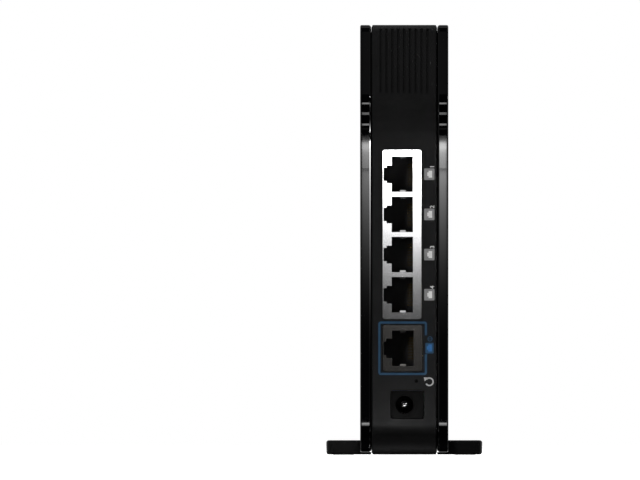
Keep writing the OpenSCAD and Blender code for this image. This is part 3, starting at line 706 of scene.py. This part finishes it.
WINDOW_FIT = 0.15
JACK_CORNER_R = 0.8
GROOVES = 9
GROOVE_PITCH = 2.03
GROOVE_W = 0.9
GROOVE_DEPTH = 0.6
GROOVE_BOTTOM = 125.8
GROOVE_TOP = CASE_TOP - 1.3
RESET_R = 0.6


def jack_window(node):
    low, high = box_mm(node)
    fit = WINDOW_FIT
    outline = round_rect(low.x - fit, low.z - fit, high.x + fit, high.z + fit, JACK_CORNER_R + fit)
    return prism_points(outline, PANEL_Y - WALL - 1, PANEL_Y + 1)


def groove_x():
    return [(i - (GROOVES - 1) / 2) * GROOVE_PITCH for i in range(GROOVES)]


def make_rear_cover():
    cover = band_piece("rear_cover_moulded", rear_path, MATT, "matt_black_plastic", "rear_cover")
    reset_low, reset_high = box_mm("reset_plunger")
    reset_x, reset_z = (reset_low.x + reset_high.x) / 2, (reset_low.z + reset_high.z) / 2
    cuts = [jack_window("lan_shield"), jack_window("wan_shield"), jack_window("dc_jack_housing")]
    cuts.append(rod_points((reset_x, PANEL_Y - WALL - 1, reset_z), 1, RESET_R, WALL + 2))
    cuts += [
        box_points((x - GROOVE_W / 2, HEAD_Y - GROOVE_DEPTH, GROOVE_BOTTOM),
                   (x + GROOVE_W / 2, HEAD_Y + 1, GROOVE_TOP))
        for x in groove_x()
    ]
    cut(cover, cuts)
    soften(cover, COVER_EDGE, COVER_ANGLE)
    shade(cover, SHADE_ANGLE)


SLOT_MIDDLE_Y = 2
SLOT_ROWS = 3
SLOT_LENGTH = 22.0
SLOT_GAP = 4.0
SLOT_W = 1.0


def make_top_cover():
    cover = band_piece("top_cover_moulded", top_path, MATT, "matt_black_plastic", "top_cover")
    first = SLOT_MIDDLE_Y - (SLOT_ROWS * SLOT_LENGTH + (SLOT_ROWS - 1) * SLOT_GAP) / 2
    cuts = []
    for x in groove_x():
        for row in range(SLOT_ROWS):
            y = first + row * (SLOT_LENGTH + SLOT_GAP)
            cuts.append(box_points((x - SLOT_W / 2, y, CASE_TOP - WALL - 1),
                                   (x + SLOT_W / 2, y + SLOT_LENGTH, CASE_TOP + 1)))
    cut(cover, cuts)
    soften(cover, COVER_EDGE, COVER_ANGLE)
    shade(cover, SHADE_ANGLE)


VENTS = 9
VENT_HALF_X = 8
VENT_FIRST_Y = 6
VENT_END_Y = 7.4
VENT_PITCH = 3


def make_bottom_cover():
    cover = band_piece("bottom_cover_moulded", bottom_path, MATT, "matt_black_plastic", "bottom_cover")
    cuts = [box_points((-VENT_HALF_X, VENT_FIRST_Y + VENT_PITCH * i, -1),
                       (VENT_HALF_X, VENT_END_Y + VENT_PITCH * i, BAND_BASE + WALL + 1))
            for i in range(VENTS)]
    cut(cover, cuts)
    soften(cover, COVER_EDGE, COVER_ANGLE)
    shade(cover, SHADE_ANGLE)


LAMP_W = 2.0
LAMP_H = 3.0
LAMP_FIT = 0.1
LAMPS = 6
LAMP_PITCH = 8.0
LAMP_MID_Z = 78.0
BUTTON_HOLE_R = 4.1


def lamp_heights():
    return [LAMP_MID_Z + (i - (LAMPS - 1) / 2) * LAMP_PITCH for i in range(LAMPS)]


def make_front_cover():
    cover = band_piece("front_cover_gloss", front_path, GLOSS, "front_plastic", "front_cover")
    cap_low, cap_high = box_mm("button_cap")
    button_z = (cap_low.z + cap_high.z) / 2
    cuts = [rod_points((0, -HEAD_Y - 1, button_z), 1, BUTTON_HOLE_R, WALL + 3)]
    for z in lamp_heights():
        cuts.append(box_points((-LAMP_W / 2 - LAMP_FIT, -HEAD_Y - 1, z - LAMP_H / 2 - LAMP_FIT),
                               (LAMP_W / 2 + LAMP_FIT, -HEAD_Y + 2 * WALL, z + LAMP_H / 2 + LAMP_FIT)))
    cut(cover, cuts)
    soften(cover, COVER_EDGE, COVER_ANGLE)
    shade(cover, SHADE_ANGLE)


# ---- Stand ----

WING_FIT = 0.05
WING_EDGE = 0.8
WING_CORNER = 2.0
TONGUE_INSET = 6.0
TONGUE_EDGE = 0.08
FOOT_SCREW_X = 13.5
FOOT_SCREW_Y = 34
SCREW_HEAD_R = 1.7
SCREW_HEAD_H = 1.4
SCREW_R = 0.95


def wing_ring(side, z, d, half_l, half_w):
    corner = WING_CORNER - d
    plan = [(HALF_W + WING_FIT, -half_l + d)]
    plan += arc((half_w - WING_CORNER, -half_l + WING_CORNER), corner, -90, 0, 16)
    plan += arc((half_w - WING_CORNER, half_l - WING_CORNER), corner, 0, 90, 16)
    plan += [(HALF_W + WING_FIT, half_l - d)]
    return [(side * x, y, z) for x, y in plan]


def make_foot(name, side, node):
    """One wing of the stand with its tongue under the shell, and holes for the two foot screws."""
    low, high = box_mm(node)
    half_l, half_w = high.y, max(abs(low.x), abs(high.x))
    steps = range(0, 91, 9)
    rings = [wing_ring(side, low.z + WING_EDGE * (1 - cosd(a)), WING_EDGE * (1 - sind(a)), half_l, half_w)
             for a in steps]
    rings += [wing_ring(side, high.z - WING_EDGE * (1 - sind(a)), WING_EDGE * (1 - cosd(a)), half_l, half_w)
              for a in steps]
    foot = add_object(name, loft(name, rings))
    ends = (side * (BAND_HALF + 0.2), side * (HALF_W + 1))
    block = box_points((min(ends), -half_l + TONGUE_INSET, low.z),
                       (max(ends), half_l - TONGUE_INSET, SHELL_BASE - WING_FIT))
    tongue = add_object(name + "_tongue", joined("tongue", [block]))
    for y in (-FOOT_SCREW_Y, FOOT_SCREW_Y):
        start = (side * FOOT_SCREW_X, y, low.z - 1)
        cut(tongue, [rod_points(start, 2, SCREW_HEAD_R, SCREW_HEAD_H)])
        cut(tongue, [rod_points(start, 2, SCREW_R, 4)])
    shade(foot, SHADE_ANGLE)
    soften(tongue, TONGUE_EDGE, COVER_ANGLE)
    shade(tongue, SHADE_ANGLE)
    finish_piece(foot, FOOT_BLACK, "foot_plastic", node)
    finish_piece(tongue, FOOT_BLACK, "foot_plastic", node)


# ---- Printed marks on the socket panel, drawn as (u, z) with u to the right of a person facing it ----

INK = 0.03


def print_piece(name, outlines, material):
    """Flat inked shapes standing a hair proud of the panel."""
    shapes = [prism_points([(-u, z) for u, z in outline], PANEL_Y - INK, PANEL_Y + INK)
              for outline in outlines]
    obj = add_object(name, joined(name, shapes))
    finish_piece(obj, material, "matt_black_plastic")
    return obj


def ribbon(points, width):
    """The outline of a line of even width along the points."""
    left, right = [], []
    for i, (u, z) in enumerate(points):
        before, after = points[max(i - 1, 0)], points[min(i + 1, len(points) - 1)]
        run = Vector((after[0] - before[0], after[1] - before[1])).normalized()
        left.append((u - run.y * width / 2, z + run.x * width / 2))
        right.append((u + run.y * width / 2, z - run.x * width / 2))
    return left + right[::-1]


def ribbon_quads(points, width):
    """The same line as a row of four-sided outlines, for one that turns back on itself."""
    edge = ribbon(points, width)
    n = len(points)
    return [[edge[i], edge[i + 1], edge[2 * n - 2 - i], edge[2 * n - 1 - i]] for i in range(n - 1)]


def rect(u0, z0, u1, z1):
    return [(u0, z0), (u1, z0), (u1, z1), (u0, z1)]


LINE_W = 0.75
FRAME_BOX = (-9.03, 27.8, 7.9, 46.4)
ICON_U = (6.93, 10.5)
ICON_HALF = 2.0
ICON_R = 0.25
DIGIT_HEIGHT = 1.45
DIGIT_CAP_SHARE = 0.7
DIGIT_U = 10.4
PORTS = 4
PORT_PITCH = 13.97


def make_uplink_frame():
    """The blue line round the uplink port, broken at the right by the port's own mark."""
    u0, z0, u1, z1 = FRAME_BOX
    h = LINE_W / 2
    r = 0.45
    u0, z0, u1, z1 = u0 + h, z0 + h, u1 - h, z1 - h
    path = [(u1, 41.6)] + arc((u1 - r, z1 - r), r, 0, 90, 4) + arc((u0 + r, z1 - r), r, 90, 180, 4)
    path += arc((u0 + r, z0 + r), r, 180, 270, 4) + arc((u1 - r, z0 + r), r, 270, 360, 4) + [(u1, 35.0)]
    print_piece("uplink_frame_line", ribbon_quads(path, LINE_W), INK_BLUE)
    print_piece("uplink_port_mark", [round_rect(7.35, 35.3, 10.2, 39.0, ICON_R, 2)], INK_BLUE)
    globe = arc((8.95, 40.35), 0.75, 0, 360, 20)
    marks = ribbon_quads(globe, 0.25) + [rect(8.2, 40.25, 9.7, 40.45)]
    print_piece("uplink_globe_mark", marks, INK_BLUE)
    plug = [(7.85, 36.6), (8.35, 36.6), (8.35, 36.0), (9.6, 36.0), (9.6, 38.4), (8.35, 38.4),
            (8.35, 37.8), (7.85, 37.8)]
    top = print_piece("uplink_plug_mark", [plug], INK_BRIGHT_BLUE)
    top.location.y += INK * MM


def port_centres():
    """Heights of the four network ports, from the shield's box."""
    low, high = box_mm("lan_shield")
    middle = (low.z + high.z) / 2
    return [middle + ((PORTS - 1) / 2 - i) * PORT_PITCH for i in range(PORTS)]


def make_port_marks():
    for number, z in enumerate(port_centres(), start=1):
        square = round_rect(ICON_U[0], z - ICON_HALF, ICON_U[1], z + ICON_HALF, ICON_R, 2)
        print_piece(f"port_{number}_mark", [square], INK_GREY)
        plug = [(8.0, z - 0.65), (8.45, z - 0.65), (8.45, z - 1.2), (9.7, z - 1.2), (9.7, z + 1.2),
                (8.45, z + 1.2), (8.45, z + 0.65), (8.0, z + 0.65)]
        top = print_piece(f"port_{number}_plug_mark", [plug], INK_WHITE)
        top.location.y += INK * MM
        make_digit(number, z + ICON_HALF + 0.1)


def make_digit(number, low_z):
    """A port's number, lying on its side so that it reads upwards."""
    curve = bpy.data.curves.new("digit", "FONT")
    curve.body = str(number)
    curve.size = DIGIT_HEIGHT / DIGIT_CAP_SHARE * MM
    curve.extrude = INK * MM
    curve.offset = 0.02 * MM
    maker = bpy.data.objects.new("digit", curve)
    bpy.context.scene.collection.objects.link(maker)
    mesh = bpy.data.meshes.new_from_object(maker.evaluated_get(bpy.context.evaluated_depsgraph_get()))
    bpy.data.objects.remove(maker)
    turn = Matrix(((0, 1, 0, 0), (0, 0, 1, 0), (1, 0, 0, 0), (0, 0, 0, 1)))
    mesh.transform(Matrix.Translation((-DIGIT_U * MM, PANEL_Y * MM, low_z * MM)) @ turn)
    digit = add_object(f"port_{number}_digit", mesh)
    finish_piece(digit, INK_WHITE, "matt_black_plastic")


def make_reset_mark():
    """An open ring with an arrowhead, beside the reset pinhole."""
    centre, radius, stroke = (8.74, 25.45), 1.3, 0.45
    sweep = arc(centre, radius, 140, -150, 40)
    outlines = ribbon_quads(sweep, stroke)
    tip = (centre[0] - 1.95, centre[1] + 1.55)
    outlines.append([tip, (centre[0] - 0.35, centre[1] + 1.45), (centre[0] - 1.6, centre[1] + 0.15)])
    print_piece("reset_mark", outlines, INK_PALE_GREY)


# ---- Everything that keeps the shape of its CAD node ----

def make_sockets():
    rebuilt("lan_shield", "lan_shield_plate", NICKEL, "bright_shield", 0.09)
    rebuilt("wan_shield", "wan_shield_plate", DARK_NICKEL, "dark_shield", 0.12)
    rebuilt("lan_housing", "lan_housing_block", SOCKET_BLACK, "socket_plastic", 0.08)
    rebuilt("wan_housing", "wan_housing_block", SOCKET_BLACK, "socket_plastic", 0.08)
    rebuilt("lan_contacts", "lan_contact_wires", GOLD, "gold_contact", 0.06)
    rebuilt("wan_contacts", "wan_contact_wires", GOLD, "gold_contact", 0.06)
    rebuilt("dc_jack_housing", "power_jack_block", JACK_BLACK, "socket_plastic", 0.15)
    rebuilt("dc_centre_pin", "power_jack_pin", PIN, "pin_metal", 0.12, 25)
    rebuilt("dc_spring_contact", "power_jack_spring", NICKEL, "pin_metal", 0.05)


PLAIN = {
    "foot_pads": RUBBER, "foot_screws": STEEL, "chassis_plate": INNER_BLACK, "case_screws": STEEL,
    "main_board": BOARD, "board_screws": STEEL,
    "reset_switch_body": SATIN_BLACK, "reset_plunger": JACK_BLACK,
    "button_switch_body": SATIN_BLACK, "button_plunger": IVORY, "light_pipe": ACRYLIC,
    "status_leds": LED_RESIN, "processor_chip": EPOXY, "thermal_pad": SILICONE, "heat_sink": ALUMINIUM,
    "memory_chips": EPOXY, "flash_chip": EPOXY, "port_switch_chip": EPOXY, "radio_shield_can": NICKEL,
    "line_transformers": EPOXY, "capacitors": SLEEVE, "inductors": FERRITE, "crystal": NICKEL,
    "antenna_connectors": GOLD, "left_antenna": BOARD, "right_antenna": BOARD,
    "left_antenna_cable": RUBBER, "right_antenna_cable": RUBBER, "rating_label": LABEL,
}


def dress_plain_nodes():
    for node, material in PLAIN.items():
        mesh = nodes[node].data
        mesh.materials.clear()
        mesh.materials.append(material)


bpy.context.scene.view_settings.view_transform = "Standard"
make_camera()
make_world()
make_cards()
make_lights()
make_floor()
make_shell("right_shell_gloss", 1, "right_side_shell")
make_shell("left_shell_gloss", -1, "left_side_shell")
make_rear_cover()
make_top_cover()
make_bottom_cover()
make_front_cover()
make_foot("right_wing", 1, "right_foot")
make_foot("left_wing", -1, "left_foot")
make_sockets()
rebuilt("button_cap", "connect_button_cap", SATIN_BLACK, "button_plastic", 0.12)
make_uplink_frame()
make_port_marks()
make_reset_mark()
dress_plain_nodes()
